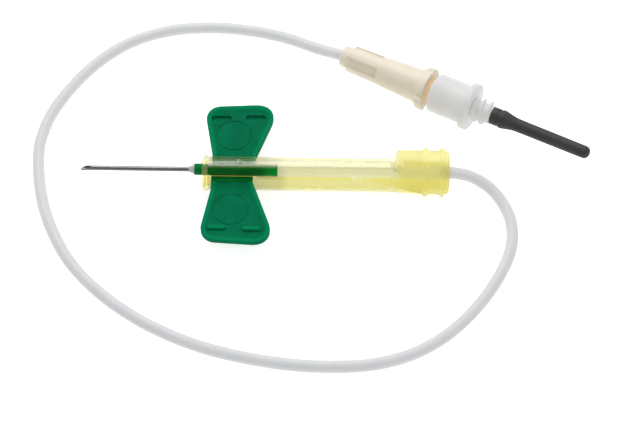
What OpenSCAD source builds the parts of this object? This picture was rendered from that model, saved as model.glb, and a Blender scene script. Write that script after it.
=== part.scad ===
/* [Patient needle] */
// Outer diameter of the patient needle
needle_od = 0.82; // [0.7:0.02:0.9]
// Bore of the patient needle
needle_bore = 0.51; // [0.3:0.02:0.56]
// Length of needle that stands free of the adhesive
needle_free = 19.05; // [16:0.05:20]
// Length of needle bonded inside the hub
needle_bonded = 9.0; // [6:0.5:12]
// Length of the ground bevel
bevel_length = 2.2; // [1.6:0.1:3]
// Length of the adhesive cone on the nose of the hub
bead_length = 1.0; // [0.6:0.1:1.4]

/* [Hub and wings] */
// Outer diameter of the hub tube
hub_od = 2.0; // [1.8:0.05:2.2]
// Length of the hub tube
hub_length = 14.4; // [13:0.2:18]
// Flow bore behind the bonded needle
hub_bore = 1.0; // [0.9:0.05:1.2]
// Start of the wing root behind the nose of the hub
wing_start = 2.9; // [2.8:0.1:3.4]
// Width of the wing root along the hub
wing_root = 7.2; // [6.8:0.1:7.6]
// Reach of each wing from the needle axis
wing_reach = 14.1; // [13:0.1:16]
// Thickness of the wings at their rim
wing_thickness = 1.0; // [0.8:0.05:1.1]
// Depth of the field inside the rim of a wing
field_depth = 0.15; // [0.1:0.05:0.25]
// Width of the rim round a wing
rim_width = 0.9; // [0.6:0.1:1.2]
// Length of a grip bar
bar_length = 3.2; // [2.6:0.1:3.4]
// Width of a grip bar
bar_width = 0.8; // [0.6:0.05:0.9]
// Height of a grip bar over the field of its wing
bar_height = 0.4; // [0.3:0.05:0.6]

/* [Safety shield] */
// Outer diameter of the long shield body
shield_od = 5.8; // [5.6:0.1:6.1]
// Wall of the shield body
shield_wall = 0.55; // [0.45:0.05:0.65]
// Length of the shield from lip to rear rim
shield_length = 42.6; // [42:0.2:46]
// Travel from the rest place to the lock
shield_travel = 24.2; // [22.5:0.1:24.6]
// Outer diameter of the gripping collar
collar_od = 7.6; // [7.3:0.1:7.8]
// Length of the gripping collar
collar_length = 9.9; // [9.6:0.1:10.4]
// Outer diameter of the two grip ribs
rib_od = 8.5; // [8.2:0.1:8.8]
// Thickness of one grip rib
rib_width = 0.8; // [0.6:0.05:1]

/* [Tubing] */
// Outer diameter of the tubing
tube_od = 2.1; // [1.9:0.05:2.2]

/* [Connector hub] */
// Length of the connector hub
socket_length = 17.5; // [16:0.1:20]
// Diameter over the four ribs where they start
socket_rear_od = 4.9; // [4.7:0.1:5.1]
// Diameter of the barrel where it starts
barrel_od = 5.4; // [5.3:0.1:5.6]
// Diameter of the barrel at its flange
barrel_mouth_od = 6.3; // [6:0.1:6.4]
// Width over the two lugs
lug_span = 7.8; // [7.4:0.1:8]
// Diameter of the tapered mouth
mouth_d = 4.3; // [4.2:0.02:4.4]
// Depth of the tapered socket
mouth_depth = 9.0; // [8:0.5:11]

/* [Tube adapter] */
// Gap between the flange of the hub and the skirt of the adapter
adapter_gap = 1.0; // [0.6:0.1:1.4]
// Outer diameter of the skirt
skirt_od = 7.1; // [6.8:0.1:7.4]
// Length of the skirt
skirt_length = 6.6; // [6:0.1:7.2]
// Diameter of the stop disc
disc_od = 8.5; // [8.2:0.1:8.8]
// Thickness of the stop disc
disc_width = 1.2; // [1:0.1:1.6]
// Length of the threaded shank
shank_length = 3.7; // [3.5:0.1:4.4]
// Root diameter of the thread
shank_od = 3.4; // [3.35:0.05:3.6]
// Crest diameter of the thread
thread_od = 4.55; // [4.4:0.05:4.7]
// Pitch of the thread
thread_pitch = 1.37; // [1.2:0.01:1.5]

/* [Rubber sleeve] */
// Length of the sleeve beyond the shank
sleeve_length = 18.7; // [17.5:0.1:20.5]
// Diameter of the sleeve at its gripping end
sleeve_grip_od = 3.2; // [3:0.05:3.3]
// Diameter of the slender stretch of the sleeve
sleeve_od = 2.3; // [2.2:0.05:2.5]
// Length of the tube-side needle beyond the shank
back_needle_free = 15.0; // [13:0.5:16]

/* [Hidden] */
$fn = 64;
eps = 0.01;

// Glue gap round a bonded needle
bond_gap = 0.02;
// Gap between a wing and its root at the flexing line
flex_gap = 0.05;
// Room round the wing roots in the windows of the shield
window_gap = 0.15;
// Inner radius of the shield and height of its centre under the needle axis
shield_r = shield_od / 2;
shield_bore_r = shield_r - shield_wall;
shield_top_gap = 0.25;
shield_z = hub_od / 2 + shield_top_gap - shield_bore_r;
// The grip ribs are what the rear of the shield lies on
floor_z = -rib_od / 2;

// Nose and rear of the hub, measured from the root of the free needle
hub_x = bead_length;
hub_end = hub_x + hub_length;
// The wings lie on the underside of the hub tube
wing_top = -hub_od / 2 + 0.4;
wing_bottom = wing_top - wing_thickness;
// The wings flex along a line just outside the collar
flex_y = collar_od / 2 + 0.05;
wing_x = hub_x + wing_start;
wing_rear = wing_x + wing_root;
// Leading and trailing corners of a wing: place along the hub, reach, corner radius
lead_slant = 0.18;
trail_slant = 0.37;
trail_extra = 0.8;
corner_lead_r = 2.6;
corner_trail_r = 3.0;

// Shield stations along the needle axis
shield_x = 2.4;
shield_end = shield_x + shield_length;
collar_x = shield_end - collar_length;
lip_r = -floor_z + shield_z;
lip_width = 0.9;
window_x = wing_x - 0.2;
window_low = wing_bottom - window_gap;
window_high = shield_z + 0.72 * shield_r;
window_run = 0.35;
gate_x = wing_x + shield_travel + 0.1;
gate_rise = 0.6;
rib_1 = shield_end - 4.1;
rib_2 = shield_end - 1.2;

// Connector end: turned away from the needle, lying on the start of its ribs and on the stop disc
socket_x = 26.7;
socket_y = 26.4;
socket_turn = -28.7;
rib_start = 1.4;
skirt_x = socket_length + adapter_gap;
disc_x = skirt_x + skirt_length;
shank_x = disc_x + disc_width;
sleeve_x = shank_x + shank_length;
socket_tilt = atan((disc_od - socket_rear_od) / 2 / (disc_x - rib_start));
socket_z = floor_z - rib_start * sin(socket_tilt) + socket_rear_od / 2 * cos(socket_tilt);
// Six per cent taper of the conical fitting, as a fall of radius per length
taper = 0.03;
cone_gap = 0.03;
cone_length = 7.5;

// Route of the tubing, centre line
tube_r = tube_od / 2;
lay_z = floor_z + tube_r;
route = concat(
    [[hub_end, 0, 0], [30, 0, 0], [44, 0, 0], [46.6, 0, -0.2], [49.4, -0.2, -1.2], [52.1, -1.4, -2.3],
     [54.2, -3.7, -3]],
    [for (p = [[55.6, -7.2], [55.8, -11.4], [54.7, -15.6], [52.7, -19.7], [50.1, -23.7], [46.8, -27.6],
               [42.8, -31.1], [37.9, -33.9], [31.8, -35.7], [25, -36.2], [18, -35.9], [11, -34.8],
               [4.2, -33.1], [-2.4, -30.5], [-8.8, -26.9], [-14.6, -22.4], [-19.3, -17.3],
               [-22.7, -11.6], [-25.1, -5.6], [-26.5, 0.8], [-26.9, 7], [-25.6, 13], [-22.7, 18.9],
               [-18.4, 24.7], [-12.5, 29.7], [-5.2, 32.6], [2.6, 33.4], [10.2, 32.7]])
        [p[0], p[1], lay_z]],
    [[16.6, 31, -3.1], [21.8, 28.5, -2.6], [socket_x, socket_y, socket_z]]);

// Arc of points that rounds the corner b of the path a, b, c with radius r
function rounded_corner(a, b, c, r, steps = 6) =
    let (u = (a - b) / norm(a - b), v = (c - b) / norm(c - b),
         half = acos(u * v) / 2, reach = r / tan(half),
         centre = b + (u + v) / norm(u + v) * r / sin(half),
         p = b + u * reach - centre, q = b + v * reach - centre,
         half_turn = 180, sweep = half_turn - 2 * half)
    [for (i = [0:steps])
        centre + (p * sin(sweep * (1 - i / steps)) + q * sin(sweep * i / steps)) / sin(sweep)];

// Outline through corners given as [x, y, radius]; a radius of zero keeps the corner sharp
function rounded_outline(k) =
    [for (i = [0:len(k) - 1])
        let (n = len(k), a = k[(i + n - 1) % n], b = k[i], c = k[(i + 1) % n])
        each b[2] > 0
            ? rounded_corner([a[0], a[1]], [b[0], b[1]], [c[0], c[1]], b[2])
            : [[b[0], b[1]]]];

// Point where the lines a-b and b-c meet after both move inwards by d
function inset_point(a, b, c, d) =
    let (u = (b - a) / norm(b - a), v = (c - b) / norm(c - b),
         nu = [-u[1], u[0]], nv = [-v[1], v[0]])
    b + (nu + nv) * d / (1 + nu * nv);

// Corners moved inwards by d, their radii cut by as much
function inset_corners(k, d) =
    [for (i = [0:len(k) - 1])
        let (n = len(k), a = k[(i + n - 1) % n], b = k[i], c = k[(i + 1) % n],
             p = inset_point([a[0], a[1]], [b[0], b[1]], [c[0], c[1]], d))
        [p[0], p[1], max(b[2] - d, b[2] > 0 ? 0.3 : 0)]];

// Solid of revolution about X from an outline of [radius, x]
module turned(outline) {
    rotate([0, 90, 0]) rotate_extrude() polygon(outline);
}

// Straight round bar along X
module bar_x(x, r, length) {
    translate([x, 0, 0]) rotate([0, 90, 0]) cylinder(r = r, h = length);
}

// Slab with round ends, lying along X and centred
module stadium(length, width, height) {
    linear_extrude(height) union() {
        square([length - width, width], center = true);
        for (side = [-1, 1]) translate([side * (length - width) / 2, 0]) circle(d = width);
    }
}

// Places what is drawn along its own X axis on the connector line
module on_connector() {
    translate([socket_x, socket_y, socket_z]) rotate([0, -socket_tilt, socket_turn]) children();
}

// Half space that grinds a needle point: a plane through the heel, turned round the needle
module grind(point_x, slope, turn) {
    reach = 3 * needle_od;
    rotate([turn, 0, 0])
        translate([point_x, 0, -needle_od / 2]) rotate([0, -slope, 0])
            translate([-reach, -reach, 0]) cube([4 * bevel_length + reach, 2 * reach, 2 * reach]);
}

// Patient needle: a tube with a back-ground bevel; the bonded length is drawn down a little for the glue
module needle_cannula() {
    slope = atan(needle_od / bevel_length);
    drawn_r = needle_od / 2 - 0.01;
    color("silver") difference() {
        union() {
            bar_x(-needle_free, needle_od / 2, needle_free);
            rotate([0, 90, 0]) cylinder(r1 = needle_od / 2, r2 = drawn_r, h = bead_length + needle_bonded);
        }
        bar_x(-needle_free - eps, needle_bore / 2, needle_free + bead_length + needle_bonded + 2 * eps);
        grind(-needle_free, slope, 0);
        for (side = [-1, 1]) grind(-needle_free + 0.05, slope * 1.5, side * 32);
    }
}

// Cone of set adhesive where the needle enters the nose of the hub
module adhesive_bead() {
    bore_r = needle_od / 2 + bond_gap;
    nose_r = hub_od / 2 - 0.08;
    color("whitesmoke") turned(concat(
        [[bore_r, bead_length], [bore_r, 0]],
        [for (i = [0:6]) let (t = i / 6)
            [bore_r + 0.06 + (nose_r - bore_r - 0.06) * pow(t, 1.4), 0.04 + (bead_length - 0.04) * t]]));
}

// Corners of the wing root inside the windows of the shield, for one side
function root_side(side) = [[wing_x, 0], [wing_x, side * flex_y],
    [wing_rear + trail_slant * (flex_y - hub_od), side * flex_y], [wing_rear, side * hub_od], [wing_rear, 0]];

// Hub tube with the flat roots that carry the wings
module wing_hub() {
    hub_r = hub_od / 2;
    color([0.0, 0.5, 0.3]) difference() {
        union() {
            turned(rounded_outline([[0, hub_x, 0], [hub_r, hub_x, 0.08], [hub_r, hub_end, 0.08],
                [0, hub_end, 0]]));
            translate([0, 0, wing_bottom]) linear_extrude(wing_thickness)
                for (side = [-1, 1]) polygon(root_side(side));
        }
        bar_x(hub_x - eps, needle_od / 2 + bond_gap, needle_bonded + 2 * eps);
        bar_x(hub_x + needle_bonded, hub_bore / 2, hub_length);
    }
}

// Corners of one wing outside its flexing line
wing_start_y = flex_y + flex_gap;
wing_corners = [
    [wing_x, wing_start_y, 0],
    [wing_rear + trail_slant * (wing_start_y - hub_od), wing_start_y, 0],
    [wing_rear + trail_slant * (wing_reach - hub_od) + 0.1, wing_reach + trail_extra / 2, corner_trail_r],
    [wing_x - lead_slant * (wing_reach - flex_y), wing_reach - trail_extra / 2, corner_lead_r]];
// Grip bars: distance from the needle axis, spacing along the hub, shift to the rear and lean outwards
bar_y = 0.81 * wing_reach;
bar_step = 6.0;
bar_shift = 0.7;
bar_lean = 0.1;
// Plain ring in the middle of the field: outer radius, width of its line and depth
ring_r = 3.2;
ring_line = 0.28;
ring_depth = 0.08;
wing_mid = wing_x + wing_root / 2;

// Plate of one wing with a rim, a lower field and a plain shallow ring
module wing_plate() {
    field = inset_corners(wing_corners, rim_width);
    translate([0, 0, wing_bottom]) difference() {
        linear_extrude(wing_thickness) polygon(rounded_outline(wing_corners));
        translate([0, 0, wing_thickness - field_depth]) linear_extrude(wing_thickness)
            polygon(rounded_outline(field));
        translate([wing_mid, (flex_y + bar_y) / 2, wing_thickness - field_depth - ring_depth])
            linear_extrude(wing_thickness) difference() {
                circle(r = ring_r);
                circle(r = ring_r - ring_line);
            }
    }
}

// Places of the two grip bars, and of the two pockets that they press into
module at_grips() {
    for (side = [-1, 1])
        translate([wing_mid + side * bar_step / 2 + bar_shift, bar_y + side * bar_lean, 0]) children();
}

// Wing on the viewer's side, with two raised grip bars
module near_wing() {
    bar_foot = 0.2;
    color([0.0, 0.52, 0.33]) mirror([0, 1, 0]) union() {
        wing_plate();
        at_grips() translate([0, 0, wing_top - field_depth - bar_foot])
            stadium(bar_length, bar_width, bar_height + bar_foot);
    }
}

// Far wing, with two pockets that take the bars when the wings are pinched together
module far_wing() {
    pocket_gap = 0.15;
    pocket_depth = bar_height + 0.05;
    color([0.0, 0.52, 0.33]) difference() {
        wing_plate();
        at_grips() translate([0, 0, wing_top - field_depth - pocket_depth])
            stadium(bar_length + 2 * pocket_gap, bar_width + 2 * pocket_gap, wing_thickness);
    }
}

// Outline of a side window in X and Z: a long run for the wing root, then a gate that narrows to the collar
window_end = rib_1 - rib_width / 2 - 0.1;
window_outline = [
    [window_x, window_low], [window_end, window_low], [window_end, window_low + 0.4],
    [gate_x, window_high - window_run + gate_rise], [gate_x, window_high - window_run],
    [wing_rear + 1.5, window_high - window_run], [wing_rear + 0.3, window_high], [window_x, window_high]];

// Shoulder and barrel of the collar, about the needle axis
module collar_barrel() {
    collar_r = collar_od / 2;
    shoulder = 1.3;
    turned(concat(
        [[0, collar_x]],
        [for (i = [0:6]) let (a = 90 * i / 6)
            [collar_r - shoulder * 1.3 + shoulder * (1 - cos(a)), collar_x + shoulder * 0.75 * sin(a)]],
        rounded_corner([collar_r - shoulder * 0.3, collar_x + shoulder * 0.75],
            [collar_r, collar_x + shoulder], [collar_r, shield_end], 0.25),
        rounded_corner([collar_r, collar_x + shoulder], [collar_r, shield_end], [0, shield_end], 0.7),
        [[0, shield_end]]));
}

// Cut that scoops the near shoulder of the collar away in front of the first rib
module near_scoop() {
    depth = collar_od;
    run = rib_1 - collar_x;
    translate([0, 0, -depth]) linear_extrude(2 * depth) polygon(concat(
        [[collar_x - 1, -depth], [collar_x - 1, -0.4]],
        [for (i = [0:8]) let (t = i / 8) [collar_x + 1.2 + (run - 1.2) * t, -0.4 - 1.8 * sin(90 * t)]],
        [[rib_1, -depth]]));
}

// Flare from the eccentric body out to the collar
module collar_flare() {
    sunk = 0.1;
    hull() {
        translate([collar_x - 0.2, 0, shield_z]) bar_x(0, shield_r - sunk, 0.1, $fn = 32);
        bar_x(rib_1 + 0.2, collar_od / 2 - sunk / 2, 0.1, $fn = 32);
    }
}

// One round grip rib about the needle axis
module grip_rib(x) {
    translate([x, 0, 0]) rotate([0, 90, 0]) rotate_extrude()
        translate([rib_od / 2 - rib_width / 2, 0]) circle(d = rib_width, $fn = 24);
}

// Places of the pin marks, as shares of the length of the shield
mark_shares = [0.148, 0.441, 0.566];

// Round mark that a mould pin leaves on the crown of the shield, a little to the far side
module pin_mark(x) {
    mark_turn = 16;
    mark_d = 1.0;
    mark_root = 0.2;
    mark_rise = 0.08;
    translate([x, 0, shield_z]) rotate([-mark_turn, 0, 0]) translate([0, 0, shield_r - mark_root])
        cylinder(d = mark_d, h = mark_root + mark_rise);
}

// Sliding shield: a tube with a window on each side for the wings and a ribbed collar behind
module safety_shield() {
    color([0.93, 0.88, 0.55]) difference() {
        union() {
            translate([0, 0, shield_z]) bar_x(shield_x + 0.1, shield_r, shield_length - collar_length + 0.6);
            translate([0, 0, shield_z]) turned(rounded_outline([[0, shield_x, 0], [lip_r, shield_x, 0.3],
                [lip_r, shield_x + lip_width, 0.3], [0, shield_x + lip_width, 0]]));
            collar_flare();
            difference() {
                collar_barrel();
                near_scoop();
            }
            grip_rib(rib_1);
            grip_rib(rib_2);
            for (share = mark_shares) pin_mark(shield_x + share * shield_length);
        }
        translate([0, 0, shield_z]) bar_x(shield_x - 1, shield_bore_r, shield_length + 2);
        translate([0, collar_od, 0]) rotate([90, 0, 0]) linear_extrude(2 * collar_od) polygon(window_outline);
    }
}

// Point on a smooth curve through the route, at part t of the step from point i
function route_point(i, t) =
    let (n = len(route) - 1, p0 = route[max(i - 1, 0)], p1 = route[i], p2 = route[min(i + 1, n)],
         p3 = route[min(i + 2, n)])
    0.5 * (2 * p1 + (p2 - p0) * t + (2 * p0 - 5 * p1 + 4 * p2 - p3) * t * t
           + (3 * p1 - p0 - 3 * p2 + p3) * t * t * t);

// Tubing from the rear of the hub through the shield and round to the connector hub
module tubing() {
    sides = 8;
    centres = concat([for (i = [0:len(route) - 2], t = [0, 0.5]) route_point(i, t)], [route[len(route) - 1]]);
    n = len(centres);
    rings = [for (i = [0:n - 1])
        let (a = centres[max(i - 1, 0)], b = centres[min(i + 1, n - 1)],
             along = i == 0 ? [1, 0, 0] : (b - a) / norm(b - a),
             across = cross([0, 0, 1], along) / norm(cross([0, 0, 1], along)),
             up = cross(along, across))
        for (k = [0:sides - 1]) let (a = 360 * (k + 0.5) / sides)
            centres[i] + tube_r * (across * cos(a) + up * sin(a))];
    walls = [for (i = [0:n - 2], k = [0:sides - 1])
        let (a = i * sides + k, b = i * sides + (k + 1) % sides)
        each [[a, a + sides, b + sides], [a, b + sides, b]]];
    first = [for (k = [0:sides - 1]) k];
    last = [for (k = [sides - 1:-1:0]) (n - 1) * sides + k];
    color([0.9, 0.91, 0.9]) polyhedron(points = rings, faces = concat(walls, [first, last]));
}

// Rear section of the connector hub: a round collar, then four ribs with flat panels between them
module ribbed_rear(barrel_x) {
    collar_r = socket_rear_od / 2 - 0.5;
    sunk = 0.1;
    panel_width = 2.0;
    panel_turn = 55;
    panel_end = barrel_x - 0.5;
    difference() {
        turned(rounded_outline([[0, 0, 0], [collar_r, 0, 0.35], [collar_r, rib_start, 0],
            [socket_rear_od / 2, rib_start, 0.2], [barrel_od / 2 - 0.1, barrel_x + sunk, 0],
            [0, barrel_x + sunk, 0]]));
        for (turn = [0:90:270]) rotate([turn + panel_turn, 0, 0])
            translate([rib_start - sunk, -panel_width / 2, collar_r - eps])
                cube([panel_end - rib_start + sunk, panel_width, socket_rear_od]);
    }
}

// Flange of the connector hub with its two turned lugs, whose backs slope
module lug_flange() {
    lug_length = 1.1;
    lug_width = 4.4;
    lug_turn = 18;
    slope_run = 0.6;
    lug_r = lug_span / 2;
    barrel_r = barrel_mouth_od / 2;
    flange_r = barrel_r + 0.25;
    flange_x = socket_length - lug_length;
    turned([[0, flange_x - slope_run], [barrel_r - 0.1, flange_x - slope_run], [flange_r, flange_x],
        [flange_r, socket_length], [0, socket_length]]);
    rotate([lug_turn, 0, 0]) intersection() {
        turned(rounded_outline([[0, flange_x - slope_run, 0], [barrel_r - 0.1, flange_x - slope_run, 0],
            [lug_r, flange_x, 0.5], [lug_r, socket_length, 0.15], [0, socket_length, 0]]));
        translate([flange_x - slope_run, -lug_span, -lug_width / 2])
            cube([lug_length + slope_run, 2 * lug_span, lug_width]);
    }
}

// Cream hub: ribbed rear, tapered barrel, lugged flange and a conical socket
module connector_hub() {
    barrel_x = 0.47 * socket_length;
    mouth_r = mouth_d / 2;
    flow_x = 2;
    color([0.93, 0.9, 0.82]) on_connector() difference() {
        union() {
            ribbed_rear(barrel_x);
            turned(rounded_outline([[0, barrel_x, 0], [barrel_od / 2, barrel_x, 0.3],
                [barrel_mouth_od / 2, socket_length, 0], [0, socket_length, 0]]));
            lug_flange();
        }
        translate([socket_length - mouth_depth, 0, 0]) rotate([0, 90, 0])
            cylinder(r1 = mouth_r - taper * mouth_depth, r2 = mouth_r, h = mouth_depth + eps);
        bar_x(flow_x, hub_bore / 2, socket_length);
    }
}

// Nose of the adapter inside the sleeve, and length of needle bonded in the adapter
nose_r = 1.0;
nose_length = 2.4;
needle_held = 6.0;

// One crest of the holder thread round the shank
module thread_crest(x) {
    crest = 0.3;
    foot = 0.35;
    sunk_r = shank_od / 2 - 0.05;
    translate([x, 0, 0]) turned([[0, -foot], [sunk_r, -foot], [thread_od / 2, -crest / 2],
        [thread_od / 2, crest / 2], [sunk_r, foot], [0, foot]]);
}

// Male cone of the adapter; its root runs on into the core of the skirt
module male_cone(root) {
    cone_start = socket_length - cone_length;
    run = skirt_x + root - cone_start;
    start_r = mouth_d / 2 - cone_gap - taper * cone_length;
    translate([cone_start, 0, 0]) rotate([0, 90, 0])
        cylinder(r1 = start_r, r2 = start_r + taper * run, h = run);
}

// Clear adapter: male cone, skirt, stop disc, threaded shank and a small nose inside the sleeve
module tube_adapter() {
    skirt_r = skirt_od / 2;
    skirt_wall = 0.9;
    skirt_round = 0.7;
    groove_depth = 2.6;
    cone_root = 1.0;
    sunk = 0.1;
    core_r = mouth_d / 2 - cone_gap + taper * (adapter_gap + 2 * cone_root);
    first_crest = 0.35;
    crests = floor((shank_length - 0.5) / thread_pitch);
    needle_seat = sleeve_x - needle_held;
    cone_start = socket_length - cone_length;
    color([0.86, 0.87, 0.87]) on_connector() difference() {
        union() {
            turned(rounded_outline([[0, skirt_x, 0], [skirt_r - sunk, skirt_x, skirt_round],
                [skirt_r, disc_x + sunk, 0], [0, disc_x + sunk, 0]]));
            turned(rounded_outline([[0, disc_x, 0], [disc_od / 2, disc_x, 0.2],
                [disc_od / 2, shank_x, 0.2], [0, shank_x, 0]]));
            bar_x(shank_x - sunk, shank_od / 2, shank_length + sunk);
            for (i = [0:crests]) thread_crest(shank_x + first_crest + i * thread_pitch);
            bar_x(sleeve_x - sunk, nose_r, nose_length + sunk);
            male_cone(cone_root);
        }
        difference() {
            bar_x(skirt_x - sunk, skirt_r - skirt_wall, groove_depth + sunk);
            bar_x(skirt_x - 2 * sunk, core_r, groove_depth + 3 * sunk);
        }
        bar_x(cone_start - sunk, hub_bore / 2, needle_seat - cone_start + sunk);
        bar_x(needle_seat - eps, needle_od / 2 + bond_gap, needle_held + nose_length + sunk);
    }
}

// Needle that pierces the tube stopper, held in the adapter and covered by the sleeve
module tube_needle() {
    slope = atan(needle_od / bevel_length);
    point_x = sleeve_x + back_needle_free;
    whole = back_needle_free + needle_held;
    color("silver") on_connector() translate([point_x, 0, 0]) mirror([1, 0, 0]) difference() {
        bar_x(0, needle_od / 2, whole);
        bar_x(-1, needle_bore / 2, whole + 2);
        grind(0, slope, 0);
    }
}

// Rubber sleeve: a gripping end with a shallow groove, a taper and a closed round tip
module rubber_sleeve() {
    grip_r = sleeve_grip_od / 2;
    slim_r = sleeve_od / 2;
    groove_x = 1.5;
    groove_r = grip_r - 0.08;
    shoulder_x = 0.12 * sleeve_length;
    neck_x = 0.25 * sleeve_length;
    end = sleeve_length;
    bore_r = needle_od / 2 + 0.2;
    color([0.2, 0.2, 0.2]) on_connector() translate([sleeve_x, 0, 0]) difference() {
        turned(rounded_outline([[0, 0, 0], [grip_r, 0, 0.2], [grip_r, groove_x - 0.2, 0],
            [groove_r, groove_x - 0.05, 0], [groove_r, groove_x + 0.05, 0], [grip_r, groove_x + 0.2, 0],
            [grip_r, shoulder_x, 0.5], [slim_r, neck_x, 3], [slim_r, end - 0.15, 0.9], [0, end, 0]]));
        bar_x(-1, nose_r + bond_gap, nose_length + 1.1);
        bar_x(-1, bore_r, back_needle_free + 1.8);
    }
}

needle_cannula();
adhesive_bead();
wing_hub();
near_wing();
far_wing();
safety_shield();
tubing();
connector_hub();
tube_adapter();
tube_needle();
rubber_sleeve();
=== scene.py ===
"""Looks of a winged blood collection set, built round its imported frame.

Pieces are modelled in millimetres, on the axis of the patient needle or along the axis of the connector
end, and are brought to their place in metres when they are finished.
"""

from __future__ import annotations

import logging
import math
from contextlib import contextmanager
from dataclasses import dataclass, field
from enum import Enum
from typing import Callable, Iterator, Sequence

import bpy
from mathutils import Matrix, Vector


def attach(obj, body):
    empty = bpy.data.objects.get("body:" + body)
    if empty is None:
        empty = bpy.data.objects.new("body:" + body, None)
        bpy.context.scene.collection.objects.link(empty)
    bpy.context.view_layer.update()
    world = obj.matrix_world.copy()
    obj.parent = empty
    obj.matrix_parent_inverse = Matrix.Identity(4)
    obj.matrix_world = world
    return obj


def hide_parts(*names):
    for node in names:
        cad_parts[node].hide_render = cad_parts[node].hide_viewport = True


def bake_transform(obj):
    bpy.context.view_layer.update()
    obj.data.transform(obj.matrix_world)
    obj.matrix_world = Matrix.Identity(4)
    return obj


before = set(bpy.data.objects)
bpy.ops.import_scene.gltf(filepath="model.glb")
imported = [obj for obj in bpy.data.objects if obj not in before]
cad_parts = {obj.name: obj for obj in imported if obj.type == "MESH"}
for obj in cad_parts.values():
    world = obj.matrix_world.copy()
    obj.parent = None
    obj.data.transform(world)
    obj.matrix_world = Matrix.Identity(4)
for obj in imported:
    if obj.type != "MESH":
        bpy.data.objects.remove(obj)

log = logging.getLogger("collection_set")

MM = 0.001
Pair = tuple[float, float]
Triple = tuple[float, float, float]


class Body(str, Enum):
    """Moving bodies of the frame."""

    ROOT = "root"
    SHIELD = "shield"
    NEAR_WING = "near_wing"
    FAR_WING = "far_wing"
    ADAPTER = "adapter"


class Side(Enum):
    """Side of the needle axis that a wing is on, as the sign of its Y."""

    NEAR = -1
    FAR = 1


class Join(Enum):
    """How one solid is combined with another."""

    FUSE = "UNION"
    CUT = "DIFFERENCE"


def only(obj: bpy.types.Object) -> None:
    """Select one object alone and make it active."""
    bpy.ops.object.select_all(action="DESELECT")
    obj.select_set(True)
    bpy.context.view_layer.objects.active = obj


@contextmanager
def editing(obj: bpy.types.Object) -> Iterator[None]:
    """Hold one object in edit mode for the statements inside."""
    only(obj)
    bpy.ops.object.mode_set(mode="EDIT")
    yield
    bpy.ops.object.mode_set(mode="OBJECT")


def pick_faces(obj: bpy.types.Object, test: Callable[[bpy.types.MeshPolygon], bool]) -> None:
    """Select the faces of an edited mesh that pass a test.

    Args:
        obj: the object in edit mode.
        test: takes a face and says whether it is wanted.
    """
    bpy.ops.mesh.select_mode(type="FACE")
    bpy.ops.mesh.select_all(action="DESELECT")
    bpy.ops.object.mode_set(mode="OBJECT")
    for face in obj.data.polygons:
        face.select = test(face)
    bpy.ops.object.mode_set(mode="EDIT")


def pick_edges(obj: bpy.types.Object, test: Callable[[Vector, Vector], bool]) -> None:
    """Select the edges of an edited mesh that pass a test.

    Args:
        obj: the object in edit mode.
        test: takes the two ends of an edge and says whether it is wanted.
    """
    bpy.ops.mesh.select_mode(type="EDGE")
    bpy.ops.mesh.select_all(action="DESELECT")
    bpy.ops.object.mode_set(mode="OBJECT")
    points = obj.data.vertices
    for edge in obj.data.edges:
        edge.select = test(points[edge.vertices[0]].co, points[edge.vertices[1]].co)
    bpy.ops.object.mode_set(mode="EDIT")


def pick_points(obj: bpy.types.Object, test: Callable[[Vector], bool]) -> None:
    """Select the points of an edited mesh that pass a test.

    Args:
        obj: the object in edit mode.
        test: takes a point and says whether it is wanted.
    """
    bpy.ops.mesh.select_mode(type="VERT")
    bpy.ops.mesh.select_all(action="DESELECT")
    bpy.ops.object.mode_set(mode="OBJECT")
    for point in obj.data.vertices:
        point.select = test(point.co)
    bpy.ops.object.mode_set(mode="EDIT")


def apply_modifier(obj: bpy.types.Object, kind: str, **settings: object) -> None:
    """Add a modifier with its settings and apply it.

    Args:
        obj: the object that takes it.
        kind: Blender's name of the modifier's type.
        settings: its properties by name.
    """
    only(obj)
    modifier = obj.modifiers.new(kind.title(), kind)
    for name, value in settings.items():
        setattr(modifier, name, value)
    bpy.ops.object.modifier_apply(modifier=modifier.name)


def combine(obj: bpy.types.Object, tool: bpy.types.Object, join: Join) -> None:
    """Fuse a tool solid with an object or cut it away, and delete the tool."""
    apply_modifier(obj, "BOOLEAN", operation=join.value, solver="EXACT", object=tool)
    bpy.data.objects.remove(tool, do_unlink=True)


def chain(name: str, points: Sequence[Triple]) -> bpy.types.Object:
    """Extrude a single vertex from point to point.

    Args:
        name: the new object's name.
        points: the places that the chain passes.

    Returns:
        The object, a chain of edges.
    """
    bpy.ops.object.select_all(action="DESELECT")
    bpy.ops.mesh.primitive_plane_add(size=1.0)
    obj = bpy.context.object
    obj.name = name
    obj.data.name = name
    with editing(obj):
        bpy.ops.mesh.select_mode(type="VERT")
        bpy.ops.mesh.select_all(action="SELECT")
        bpy.ops.mesh.merge(type="CENTER")
        bpy.ops.transform.translate(value=points[0])
        for here, there in zip(points, points[1:]):
            step = Vector(there) - Vector(here)
            bpy.ops.mesh.extrude_region_move(TRANSFORM_OT_translate={"value": step})
    return obj


def spun(name: str, outline: Sequence[Pair], steps: int = 64) -> bpy.types.Object:
    """Spin an outline about the X axis into a closed solid.

    Args:
        name: the new object's name.
        outline: pairs of place along X and radius, from pole to pole or round a closed section.
        steps: how many steps the full turn takes.

    Returns:
        The object, with its faces outwards.
    """
    obj = chain(name, [(x, radius, 0.0) for x, radius in outline])
    with editing(obj):
        bpy.ops.mesh.select_all(action="SELECT")
        bpy.ops.mesh.spin(steps=steps, angle=math.tau, center=(0.0, 0.0, 0.0), axis=(1.0, 0.0, 0.0))
        bpy.ops.mesh.select_all(action="SELECT")
        bpy.ops.mesh.remove_doubles(threshold=1e-4)
        bpy.ops.mesh.normals_make_consistent(inside=False)
    return obj


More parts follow.
